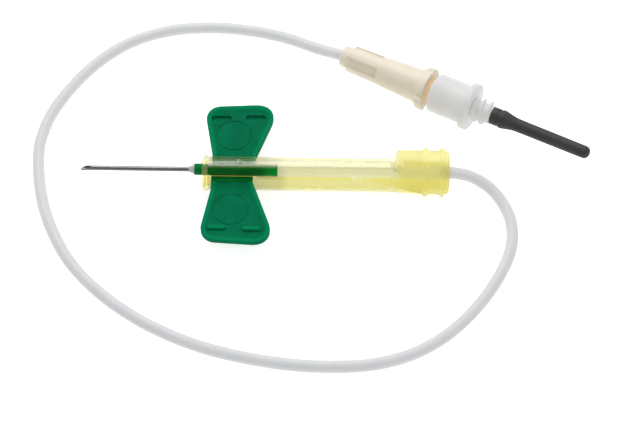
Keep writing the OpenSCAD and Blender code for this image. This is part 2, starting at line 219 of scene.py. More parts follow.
def turned(obj: bpy.types.Object, matrix: Matrix) -> bpy.types.Object:
    """Move a mesh by a matrix and apply it, so that the object is back at the origin."""
    obj.matrix_world = matrix
    only(obj)
    bpy.ops.object.transform_apply(location=True, rotation=True, scale=True)
    return obj


def block(name: str, low: Triple, high: Triple) -> bpy.types.Object:
    """Add a rectangular solid between two corners."""
    size = Vector(high) - Vector(low)
    middle = (Vector(high) + Vector(low)) / 2
    bpy.ops.object.select_all(action="DESELECT")
    bpy.ops.mesh.primitive_cube_add(size=1.0, location=middle, scale=size)
    obj = bpy.context.object
    obj.name = name
    bpy.ops.object.transform_apply(location=True, rotation=True, scale=True)
    return obj


def plate(name: str, outline: Sequence[Pair], low: float, high: float) -> bpy.types.Object:
    """Fill an outline in X and Y and extrude it upwards.

    Args:
        name: the new object's name.
        outline: its corners in X and Y.
        low: height of the underside.
        high: height of the top.

    Returns:
        The closed plate, with its faces outwards.
    """
    obj = chain(name, [(x, y, low) for x, y in outline])
    with editing(obj):
        bpy.ops.mesh.select_all(action="SELECT")
        bpy.ops.mesh.edge_face_add()
        bpy.ops.mesh.extrude_region_move(TRANSFORM_OT_translate={"value": (0.0, 0.0, high - low)})
        bpy.ops.mesh.select_all(action="SELECT")
        bpy.ops.mesh.normals_make_consistent(inside=False)
    return obj


def soften(obj: bpy.types.Object, width: float, segments: int = 2, angle: float = 35.0) -> None:
    """Round every edge sharper than an angle."""
    apply_modifier(obj, "BEVEL", width=width, segments=segments, limit_method="ANGLE",
                   angle_limit=math.radians(angle))


def smooth(obj: bpy.types.Object, angle: float = 32.0) -> None:
    """Shade an object smooth, apart from edges sharper than an angle."""
    only(obj)
    bpy.ops.object.shade_smooth_by_angle(angle=math.radians(angle))


def arc(centre: Pair, radius: float, start: float, end: float, steps: int = 5) -> list[Pair]:
    """Give points on an arc.

    Args:
        centre: place and radius of the arc's centre.
        radius: its radius.
        start: first angle in degrees, 0 along X and 90 outwards.
        end: last angle in degrees.
        steps: how many steps it takes.

    Returns:
        The points as pairs.
    """
    angles = [math.radians(start + (end - start) * i / steps) for i in range(steps + 1)]
    return [(centre[0] + radius * math.cos(a), centre[1] + radius * math.sin(a)) for a in angles]


def settle(obj: bpy.types.Object, place: Matrix = Matrix.Identity(4)) -> None:
    """Bring a piece modelled in millimetres to its place in metres."""
    turned(obj, Matrix.Scale(MM, 4) @ place)


def linear(colour: Triple) -> tuple[float, float, float, float]:
    """Turn a display colour of 0 to 255 into a linear one with full alpha."""
    parts = [c / 255.0 for c in colour]
    red, green, blue = [p / 12.92 if p <= 0.04045 else ((p + 0.055) / 1.055) ** 2.4 for p in parts]
    return red, green, blue, 1.0


class NodeBench:
    """Adds and links shader nodes in one tree."""

    def __init__(self, tree: bpy.types.NodeTree) -> None:
        """Work on a node tree."""
        self.tree = tree

    def add(self, kind: str, **settings: object) -> bpy.types.Node:
        """Add a node of a kind and set its properties."""
        node = self.tree.nodes.new(kind)
        for name, value in settings.items():
            setattr(node, name, value)
        return node

    def feed(self, socket: bpy.types.NodeSocket, value: object) -> None:
        """Link an output to a socket, or set a plain value on it."""
        if isinstance(value, bpy.types.NodeSocket):
            self.tree.links.new(value, socket)
        else:
            socket.default_value = value

    def math(self, operation: str, first: object, second: object = 0.0) -> bpy.types.NodeSocket:
        """Do one operation on two numbers."""
        node = self.add("ShaderNodeMath", operation=operation)
        self.feed(node.inputs[0], first)
        self.feed(node.inputs[1], second)
        return node.outputs[0]

    def ramp(self, value: object, low: float, high: float) -> bpy.types.NodeSocket:
        """Rise smoothly from 0 at a low value to 1 at a high one."""
        node = self.add("ShaderNodeMapRange", interpolation_type="SMOOTHSTEP")
        self.feed(node.inputs["Value"], value)
        if low <= high:
            limits = (low, high, 0.0, 1.0)
        else:
            limits = (high, low, 1.0, 0.0)
        for name, limit in zip(("From Min", "From Max", "To Min", "To Max"), limits):
            node.inputs[name].default_value = limit
        return node.outputs["Result"]

    def mix(self, factor: object, first: object, second: object) -> bpy.types.NodeSocket:
        """Mix two colours."""
        node = self.add("ShaderNodeMix", data_type="RGBA")
        self.feed(node.inputs["Factor"], factor)
        self.feed(node.inputs["A"], first)
        self.feed(node.inputs["B"], second)
        return [out for out in node.outputs if out.type == "RGBA"][0]

    def noise(self, place: object, scale: object, detail: float = 3.0) -> bpy.types.NodeSocket:
        """Give noise at a place."""
        node = self.add("ShaderNodeTexNoise")
        self.feed(node.inputs["Vector"], place)
        self.feed(node.inputs["Scale"], scale)
        self.feed(node.inputs["Detail"], detail)
        return node.outputs["Fac"]


class MouldedSurface:
    """The node group that gives every moulded finish its flow shades and fine texture."""

    inputs = (("Place", "NodeSocketVector"), ("Scale", "NodeSocketFloat"), ("Base", "NodeSocketColor"),
              ("Shade", "NodeSocketColor"), ("Amount", "NodeSocketFloat"), ("Rough", "NodeSocketFloat"),
              ("Spread", "NodeSocketFloat"))
    outputs = (("Color", "NodeSocketColor"), ("Roughness", "NodeSocketFloat"), ("Height", "NodeSocketFloat"))
    tree: bpy.types.NodeTree | None = None

    @classmethod
    def get(cls) -> bpy.types.NodeTree:
        """Build the group once and return it."""
        if cls.tree is not None:
            return cls.tree
        cls.tree = bpy.data.node_groups.new("Moulded surface", "ShaderNodeTree")
        for in_out, sockets in (("INPUT", cls.inputs), ("OUTPUT", cls.outputs)):
            for name, kind in sockets:
                cls.tree.interface.new_socket(name, in_out=in_out, socket_type=kind)
        bench = NodeBench(cls.tree)
        given = bench.add("NodeGroupInput").outputs
        result = bench.add("NodeGroupOutput").inputs
        flow = bench.noise(given["Place"], given["Scale"], 3.0)
        grain = bench.noise(given["Place"], bench.math("MULTIPLY", given["Scale"], 7.0), 4.0)
        amount = bench.math("MULTIPLY", bench.ramp(flow, 0.36, 0.66), given["Amount"])
        bench.feed(result["Color"], bench.mix(amount, given["Base"], given["Shade"]))
        swing = bench.math("MULTIPLY", bench.math("SUBTRACT", grain, 0.5), given["Spread"])
        bench.feed(result["Roughness"], bench.math("ADD", given["Rough"], swing))
        bench.feed(result["Height"], bench.math("ADD", grain, bench.math("MULTIPLY", flow, 2.0)))
        return cls.tree


@dataclass(frozen=True)
class Finish:
    """A moulded plastic finish with faint flow shades.

    Colours are display colours of 0 to 255. Scale counts patches to the metre, and depth is the height of
    the texture in metres.
    """

    name: str
    base: Triple
    shade: Triple
    rough: float = 0.4
    spread: float = 0.1
    amount: float = 0.5
    scale: float = 300.0
    depth: float = 0.00001
    specular: float = 0.5
    transmission: float = 0.0
    index: float = 1.5
    alpha: float = 1.0
    subsurface: float = 0.0
    coat: float = 0.0
    coat_rough: float = 0.25
    coat_index: float = 1.6
    # Strength of the painted glow: emission on plastic, which is no lamp.
    glow: float = 0.0

    def place(self, bench: NodeBench) -> bpy.types.NodeSocket:
        """Give the place that the pattern reads."""
        return bench.add("ShaderNodeTexCoord").outputs["Object"]

    def colour(self, bench: NodeBench, place: bpy.types.NodeSocket,
               colour: bpy.types.NodeSocket) -> bpy.types.NodeSocket:
        """Change the group's colour over the piece; a plain finish leaves it."""
        return colour

    def dullness(self, bench: NodeBench, place: bpy.types.NodeSocket,
                 rough: bpy.types.NodeSocket) -> bpy.types.NodeSocket:
        """Change the group's roughness over the piece; a plain finish leaves it."""
        return rough

    def light(self, bench: NodeBench, place: bpy.types.NodeSocket,
              colour: bpy.types.NodeSocket) -> bpy.types.NodeSocket:
        """Give the colour of the painted glow, emission on plastic that is no lamp; a plain finish glows in
        its own colour.
        """
        return colour

    def polish(self, bench: NodeBench, place: bpy.types.NodeSocket) -> float | bpy.types.NodeSocket:
        """Give the weight of the polished coat; a plain finish has the same all over."""
        return self.coat

    def cover(self, bench: NodeBench, place: bpy.types.NodeSocket) -> float | bpy.types.NodeSocket:
        """Give how much the plastic covers; a plain finish covers the same all over."""
        return self.alpha

    def build(self) -> bpy.types.Material:
        """Make the material.

        Returns:
            The new material.
        """
        material = bpy.data.materials.new(self.name)
        material.use_nodes = True
        bench = NodeBench(material.node_tree)
        shader = material.node_tree.nodes["Principled BSDF"]
        place = self.place(bench)
        group = bench.add("ShaderNodeGroup", node_tree=MouldedSurface.get())
        values = {"Place": place, "Scale": self.scale, "Base": linear(self.base), "Shade": linear(self.shade),
                  "Amount": self.amount, "Rough": self.rough, "Spread": self.spread}
        for name, value in values.items():
            bench.feed(group.inputs[name], value)
        colour = self.colour(bench, place, group.outputs["Color"])
        bench.feed(shader.inputs["Base Color"], colour)
        bench.feed(shader.inputs["Roughness"], self.dullness(bench, place, group.outputs["Roughness"]))
        bench.feed(shader.inputs["Alpha"], self.cover(bench, place))
        bump = bench.add("ShaderNodeBump")
        bump.inputs["Strength"].default_value = 1.0
        bump.inputs["Distance"].default_value = self.depth
        bench.feed(bump.inputs["Height"], group.outputs["Height"])
        bench.feed(shader.inputs["Normal"], bump.outputs["Normal"])
        shader.inputs["Specular IOR Level"].default_value = self.specular
        shader.inputs["Transmission Weight"].default_value = self.transmission
        shader.inputs["IOR"].default_value = self.index
        shader.inputs["Subsurface Weight"].default_value = self.subsurface
        shader.inputs["Subsurface Radius"].default_value = (0.0008, 0.0006, 0.0004)
        shader.inputs["Subsurface Scale"].default_value = 1.0
        bench.feed(shader.inputs["Coat Weight"], self.polish(bench, place))
        shader.inputs["Coat Roughness"].default_value = self.coat_rough
        shader.inputs["Coat IOR"].default_value = self.coat_index
        # Painted glow: the plastic emits light to brighten it, though it is no lamp.
        if self.glow:
            bench.feed(shader.inputs["Emission Color"], self.light(bench, place, colour))
            shader.inputs["Emission Strength"].default_value = self.glow
        return material


@dataclass(frozen=True)
class WingFinish(Finish):
    """Green of the wings, with a painted sheen in lighter green on the raised rim."""

    # Lighter green of the painted sheen on the rim.
    rim: Triple = (0, 134, 86)
    rim_low: float = -0.00072
    rim_high: float = -0.0006

    def place(self, bench: NodeBench) -> bpy.types.NodeSocket:
        """Read the place that each point had before the wing folds."""
        return bench.add("ShaderNodeAttribute", attribute_name="rest_place").outputs["Vector"]

    def colour(self, bench: NodeBench, place: bpy.types.NodeSocket,
               colour: bpy.types.NodeSocket) -> bpy.types.NodeSocket:
        """Paint a lighter sheen on the rim, which stands higher than the field and catches the light."""
        parts = bench.add("ShaderNodeSeparateXYZ")
        bench.feed(parts.inputs[0], place)
        mask = bench.ramp(parts.outputs["Z"], self.rim_low, self.rim_high)
        return bench.mix(bench.math("MULTIPLY", mask, 0.7), colour, linear(self.rim))


@dataclass(frozen=True)
class TubeFinish(Finish):
    """Plastic with a painted glow: in its own colour along a straight stretch inside the shield, in a second
    colour elsewhere.
    """

    start: float = 0.0
    end: float = 0.0445
    # Colour of the painted glow away from the straight stretch.
    other_glow: Triple = (146, 146, 148)

    def light(self, bench: NodeBench, place: bpy.types.NodeSocket,
              colour: bpy.types.NodeSocket) -> bpy.types.NodeSocket:
        """Give the painted glow: the piece's own colour along the straight stretch, the second glow colour
        elsewhere.
        """
        parts = bench.add("ShaderNodeSeparateXYZ")
        bench.feed(parts.inputs[0], place)
        rise = bench.ramp(parts.outputs["X"], self.start, self.start + 0.002)
        fall = bench.ramp(parts.outputs["X"], self.end, self.end - 0.002)
        beside = bench.ramp(bench.math("ABSOLUTE", parts.outputs["Y"]), 0.003, 0.002)
        mask = bench.math("MULTIPLY", bench.math("MULTIPLY", rise, fall), beside)
        return bench.mix(mask, linear(self.other_glow), colour)


@dataclass(frozen=True)
class ShieldFinish(Finish):
    """Clear yellow plastic, deeper and duller in the thick wall of the collar, with a deeper painted shade
    under the windows, a darker painted shade along the crown and a painted glow.
    """

    # Deeper yellow of the painted shade on the wall under the windows.
    low_shade: Triple = (144, 136, 6)
    # Darker yellow of the painted shade along the crown, under the coat's highlight.
    crown: Triple = (126, 120, 60)
    collar: Triple = (188, 184, 136)
    # Colour of the painted bright line along the upper edge of the windows.
    edge: Triple = (236, 220, 96)
    # Colour of the mould marks, which are paler plastic, given as a painted glow of discs.
    mark: Triple = (240, 232, 190)
    pins: Sequence[Triple] = ()
    mark_r: float = 0.0005
    edge_z: float = 0.00099
    edge_x: float = 0.0122
    edge_y: float = 0.00194
    # Colour of the painted glow in the collar.
    collar_glow: Triple = (166, 160, 88)
    dense: float = 0.92
    # Colour of the painted veil of light on the lip, behind the hub and along the crown.
    veil_glow: Triple = (148, 146, 92)
    veil_glow_x: float = 0.0165
    lip_x: float = 0.0033
    sill: float = -0.0016
    crown_z: float = 0.00158
    collar_x: float = 0.0355
    collar_rough: float = 0.42

    def masks(self, bench: NodeBench,
              place: bpy.types.NodeSocket) -> tuple[bpy.types.NodeSocket, bpy.types.NodeSocket]:
        """Give the masks of the painted shade under the windows and of the collar."""
        parts = bench.add("ShaderNodeSeparateXYZ")
        bench.feed(parts.inputs[0], place)
        low = bench.ramp(parts.outputs["Z"], self.sill, self.sill - 0.0001)
        rear = bench.ramp(parts.outputs["X"], self.collar_x - 0.0005, self.collar_x + 0.0015)
        return low, rear

    def colour(self, bench: NodeBench, place: bpy.types.NodeSocket,
               colour: bpy.types.NodeSocket) -> bpy.types.NodeSocket:
        """Deepen the yellow in the collar, and paint shade: deeper yellow on the wall under the windows, a
        muted darker yellow along the crown.
        """
        low, rear = self.masks(bench, place)
        # Painted shade: muted along the crown, deeper under the windows.
        crown_shaded = bench.mix(self.top(bench, place), colour, linear(self.crown))
        return bench.mix(rear, bench.mix(low, crown_shaded, linear(self.low_shade)), linear(self.collar))

    def top(self, bench: NodeBench, place: bpy.types.NodeSocket) -> bpy.types.NodeSocket:
        """Give the mask of the crown, which leans to the far side."""
        parts = bench.add("ShaderNodeSeparateXYZ")
        bench.feed(parts.inputs[0], place)
        height = bench.math("ADD", parts.outputs["Z"], bench.math("MULTIPLY", parts.outputs["Y"], 0.13))
        return bench.ramp(height, self.crown_z, self.crown_z + 0.0001)

    def light(self, bench: NodeBench, place: bpy.types.NodeSocket,
              colour: bpy.types.NodeSocket) -> bpy.types.NodeSocket:
        """Paint a glow: a veil of light on the front lip, rearwards from just behind the hub and along the
        crown, a glow in the collar, a bright line along the upper edge of the windows and pale discs on the
        paler mould marks.
        """
        parts = bench.add("ShaderNodeSeparateXYZ")
        bench.feed(parts.inputs[0], place)
        above = bench.ramp(parts.outputs["Z"], self.edge_z - 0.0001, self.edge_z - 0.00004)
        below = bench.ramp(parts.outputs["Z"], self.edge_z + 0.0001, self.edge_z + 0.00004)
        along = bench.ramp(parts.outputs["X"], self.edge_x, self.edge_x - 0.0008)
        beside = bench.math("ABSOLUTE", parts.outputs["Y"])
        outside = bench.ramp(beside, self.edge_y - 0.00006, self.edge_y)
        line = bench.math("MULTIPLY", bench.math("MULTIPLY", above, below), along)
        line = bench.math("MULTIPLY", line, outside)
        lip = bench.ramp(parts.outputs["X"], self.lip_x + 0.0001, self.lip_x)
        behind = bench.ramp(parts.outputs["X"], self.veil_glow_x - 0.001, self.veil_glow_x + 0.001)
        amount = bench.math("MAXIMUM", bench.math("ADD", lip, behind), self.top(bench, place))
        # Painted veil of light, then the painted glow of the collar.
        veil_colour = bench.mix(amount, linear((0, 0, 0)), linear(self.veil_glow))
        collar_glow = bench.mix(self.masks(bench, place)[1], veil_colour, linear(self.collar_glow))
        shone = bench.mix(line, collar_glow, linear(self.edge))
        for centre in self.pins:
            reach = bench.add("ShaderNodeVectorMath", operation="DISTANCE")
            bench.feed(reach.inputs[0], place)
            bench.feed(reach.inputs[1], centre)
            disc = bench.ramp(reach.outputs["Value"], self.mark_r + 0.00004, self.mark_r - 0.00004)
            shone = bench.mix(disc, shone, linear(self.mark))
        return shone

    def polish(self, bench: NodeBench, place: bpy.types.NodeSocket) -> bpy.types.NodeSocket:
        """Polish the crown as far as the collar."""
        bare = bench.math("SUBTRACT", 1.0, self.masks(bench, place)[1])
        return bench.math("MULTIPLY", bench.math("MULTIPLY", self.top(bench, place), bare), self.coat)

    def cover(self, bench: NodeBench, place: bpy.types.NodeSocket) -> bpy.types.NodeSocket:
        """Close the thick wall of the collar to straight views."""
        rear = self.masks(bench, place)[1]
        return bench.math("ADD", self.alpha, bench.math("MULTIPLY", rear, self.dense - self.alpha))

    def dullness(self, bench: NodeBench, place: bpy.types.NodeSocket,
                 rough: bpy.types.NodeSocket) -> bpy.types.NodeSocket:
        """Roughen the collar."""
        rear = self.masks(bench, place)[1]
        return bench.math("ADD", rough, bench.math("MULTIPLY", rear, self.collar_rough))


@dataclass(frozen=True)
class SocketFinish(Finish):
    """Plastic with a painted warm light in and around a mouth, in its colour and glow, standing in for light
    that comes through the wall.
    """

    # Warm colour of the painted light in the mouth, used in both colour and glow.
    mouth_glow: Triple = (236, 206, 158)
    mouth: Triple = (0.0, 0.0, 0.0)
    axis: Triple = (1.0, 0.0, 0.0)
    radius: float = 0.0022
    depth_in: float = 0.009
    front: float = 0.001
    # Colour of the painted glow away from the mouth.
    other_glow: Triple = (0, 0, 0)

    def inside(self, bench: NodeBench, place: bpy.types.NodeSocket) -> bpy.types.NodeSocket:
        """Give the mask of what lies near the axis of the mouth."""
        offset = bench.add("ShaderNodeVectorMath", operation="SUBTRACT")
        bench.feed(offset.inputs[0], place)
        bench.feed(offset.inputs[1], self.mouth)
        across = bench.add("ShaderNodeVectorMath", operation="CROSS_PRODUCT")
        bench.feed(across.inputs[0], offset.outputs["Vector"])
        bench.feed(across.inputs[1], self.axis)
        reach = bench.add("ShaderNodeVectorMath", operation="LENGTH")
        bench.feed(reach.inputs[0], across.outputs["Vector"])
        round_axis = bench.ramp(reach.outputs["Value"], self.radius + 0.0002, self.radius)
        along = bench.add("ShaderNodeVectorMath", operation="DOT_PRODUCT")
        bench.feed(along.inputs[0], offset.outputs["Vector"])
        bench.feed(along.inputs[1], self.axis)
        near = bench.ramp(along.outputs["Value"], -self.depth_in - 0.0005, -self.depth_in)
        short = bench.ramp(along.outputs["Value"], self.front + 0.0001, self.front)
        return bench.math("MULTIPLY", bench.math("MULTIPLY", round_axis, near), short)

    def colour(self, bench: NodeBench, place: bpy.types.NodeSocket,
               colour: bpy.types.NodeSocket) -> bpy.types.NodeSocket:
        """Paint the warm light's colour into the mouth."""
        return bench.mix(self.inside(bench, place), colour, linear(self.mouth_glow))

    def light(self, bench: NodeBench, place: bpy.types.NodeSocket,
              colour: bpy.types.NodeSocket) -> bpy.types.NodeSocket:
        """Give the painted glow: warm in the mouth, the second glow colour elsewhere."""
        return bench.mix(self.inside(bench, place), linear(self.other_glow), linear(self.mouth_glow))


@dataclass(frozen=True)
class SteelFinish:
    """Drawn stainless steel with faint lengthwise grain."""

    name: str
    colour: Triple = (132, 131, 130)
    rough: float = 0.3

    def build(self) -> bpy.types.Material:
        """Make the material.

        Returns:
            The new material.
        """
        material = bpy.data.materials.new(self.name)
        material.use_nodes = True
        bench = NodeBench(material.node_tree)
        shader = material.node_tree.nodes["Principled BSDF"]
        stretch = bench.add("ShaderNodeMapping")
        stretch.inputs["Scale"].default_value = (1.0, 14.0, 14.0)
        bench.feed(stretch.inputs["Vector"], bench.add("ShaderNodeTexCoord").outputs["Object"])
        grain = bench.noise(stretch.outputs["Vector"], 700.0, 4.0)
        dark = tuple(c * 0.78 for c in self.colour)
        bench.feed(shader.inputs["Base Color"], bench.mix(grain, linear(dark), linear(self.colour)))
        spread = bench.math("MULTIPLY", bench.math("SUBTRACT", grain, 0.5), 0.25)
        bench.feed(shader.inputs["Roughness"], bench.math("ADD", spread, self.rough))
        shader.inputs["Metallic"].default_value = 1.0
        bump = bench.add("ShaderNodeBump")
        bump.inputs["Distance"].default_value = 0.000004
        bench.feed(bump.inputs["Height"], grain)
        bench.feed(shader.inputs["Normal"], bump.outputs["Normal"])
        return material


@dataclass
class Piece:
    """What the frame is told of one finished piece."""

    obj: bpy.types.Object
    body: Body
    slot: str
    material: bpy.types.Material
    nodes: tuple[str, ...] = ()

    def hand_over(self, ride: bool = True) -> None:
        """Args:
            ride: false for a piece that bends between two bodies.
        """
        self.obj.data.materials.clear()
        self.obj.data.materials.append(self.material)
        if ride:
            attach(self.obj, self.body.value)
        if self.nodes:
            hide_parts(*self.nodes)
        log.info("%s: %d faces on %s", self.obj.name, len(self.obj.data.polygons), self.body.value)


@dataclass
class Studio:
    """Pale floor, soft light and the camera at the photograph's viewing angle."""

    floor_z: float = -4.25
    eye: Triple = (0.02392, -0.16758, 0.25525)
    tilt: float = 32.0
    pan: float = 0.9386
    lens: float = 102.08
    world: float = 0.5
    floor_glow: float = 0.75

    def camera(self) -> None:
        """Add the camera."""
        bpy.ops.object.camera_add(location=self.eye, rotation=(math.radians(self.tilt), 0.0,
                                                               math.radians(self.pan)))
        camera = bpy.context.object
        camera.data.lens = self.lens
        camera.data.sensor_width = 36.0
        camera.data.clip_start = 0.01
        camera.data.clip_end = 10.0
        bpy.context.scene.camera = camera

    def floor(self) -> None:
        """Add the floor under the part."""
        bpy.ops.object.select_all(action="DESELECT")
        bpy.ops.mesh.primitive_plane_add(size=3.0, location=(0.0, 0.0, self.floor_z * MM))
        floor = bpy.context.object
        floor.name = "floor"
        bpy.ops.object.transform_apply(location=True, rotation=True, scale=True)
        material = bpy.data.materials.new("floor white")
        material.use_nodes = True
        shader = material.node_tree.nodes["Principled BSDF"]
        shader.inputs["Base Color"].default_value = (0.6, 0.6, 0.6, 1.0)
        shader.inputs["Emission Color"].default_value = (1.0, 1.0, 1.0, 1.0)
        shader.inputs["Emission Strength"].default_value = self.floor_glow
        shader.inputs["Roughness"].default_value = 0.9
        shader.inputs["Specular IOR Level"].default_value = 0.1
        floor.data.materials.append(material)

    def light(self, name: str, place: Triple, size: float, watts: float) -> None:
        """Add a soft area light that looks at the part."""
        bpy.ops.object.light_add(type="AREA", location=place)
        lamp = bpy.context.object
        lamp.name = name
        lamp.data.shape = "DISK"
        lamp.data.size = size
        lamp.data.energy = watts
        aim = Vector((0.01, 0.0, 0.0)) - Vector(place)
        lamp.rotation_euler = aim.to_track_quat("-Z", "Y").to_euler()

    def build(self) -> None:
        """Set the stage."""
        self.camera()
        self.floor()
        self.light("key", (-0.05, 0.32, 0.4), 0.4, 1.7)
        self.light("fill", (0.35, -0.2, 0.45), 0.4, 0.4)
        world = bpy.data.worlds.new("studio")
        world.use_nodes = True
        sky = world.node_tree.nodes["Background"]
        sky.inputs["Color"].default_value = (1.0, 1.0, 1.0, 1.0)
        sky.inputs["Strength"].default_value = self.world
        bpy.context.scene.world = world
        bpy.context.scene.view_settings.view_transform = "Standard"


@dataclass
class Tubing:
    """Clear tubing from the hub through the shield and round to the connector hub, in millimetres."""

    diameter: float = 2.1
    lumen: float = 1.1
    steps: int = 6
    sides: int = 20
    lay_z: float = -3.2
    start: Sequence[Triple] = ((15.4, 0, 0), (30, 0, 0), (44, 0, 0), (46.6, 0, -0.2), (49.4, -0.2, -1.2),
                               (52.1, -1.4, -2.3), (54.2, -3.7, -3.0))
    loop: Sequence[Pair] = ((55.6, -7.2), (55.8, -11.4), (54.7, -15.6), (52.7, -19.7), (50.1, -23.7),
                            (46.8, -27.6), (42.8, -31.1), (37.9, -33.9), (31.8, -35.7), (25, -36.2),
                            (18, -35.9), (11, -34.8), (4.2, -33.1), (-2.4, -30.5), (-8.8, -26.9),
                            (-14.6, -22.4), (-19.3, -17.3), (-22.7, -11.6), (-25.1, -5.6), (-26.5, 0.8),
                            (-26.9, 7), (-25.6, 13), (-22.7, 18.9), (-18.4, 24.7), (-12.5, 29.7),
                            (-5.2, 32.6), (2.6, 33.4), (10.2, 32.7))
    end: Sequence[Triple] = ((16.6, 31, -3.1), (21.8, 28.5, -2.6), (26.7, 26.4, -1.913))

    def path(self) -> list[Vector]:
        """Give points on a smooth curve through the route."""
        route = [Vector(p) for p in self.start]
        route += [Vector((x, y, self.lay_z)) for x, y in self.loop]
        route += [Vector(p) for p in self.end]
        last = len(route) - 1
        points = []
        for i in range(last):
            a, b, c, d = route[max(i - 1, 0)], route[i], route[i + 1], route[min(i + 2, last)]
            for step in range(self.steps):
                t = step / self.steps
                bend = (2 * a - 5 * b + 4 * c - d) * t * t + (3 * b - a - 3 * c + d) * t ** 3
                points.append(0.5 * (2 * b + (c - a) * t + bend))
        return points + [route[last]]

    def build(self, material: bpy.types.Material) -> None:
        points = self.path()
        curve = bpy.data.curves.new("flow_tubing", "CURVE")
        curve.dimensions = "3D"
        curve.twist_mode = "Z_UP"
        curve.bevel_depth = self.diameter / 2
        curve.bevel_resolution = self.sides // 4 - 1
        spline = curve.splines.new("POLY")
        spline.points.add(len(points) - 1)
        for knot, point in zip(spline.points, points):
            knot.co = (*point, 1.0)
        obj = bpy.data.objects.new("flow_tubing", curve)
        bpy.context.scene.collection.objects.link(obj)
        only(obj)
        bpy.ops.object.convert(target="MESH")
        obj = bpy.context.object
        with editing(obj):
            bpy.ops.mesh.select_all(action="SELECT")
            bpy.ops.mesh.remove_doubles(threshold=1e-4)
            bpy.ops.mesh.normals_make_consistent(inside=False)
        apply_modifier(obj, "SOLIDIFY", thickness=(self.diameter - self.lumen) / 2, offset=-1.0)
        smooth(obj, 50.0)
        settle(obj)
        Piece(obj, Body.ROOT, "tube_clear", material, ("tubing",)).hand_over()


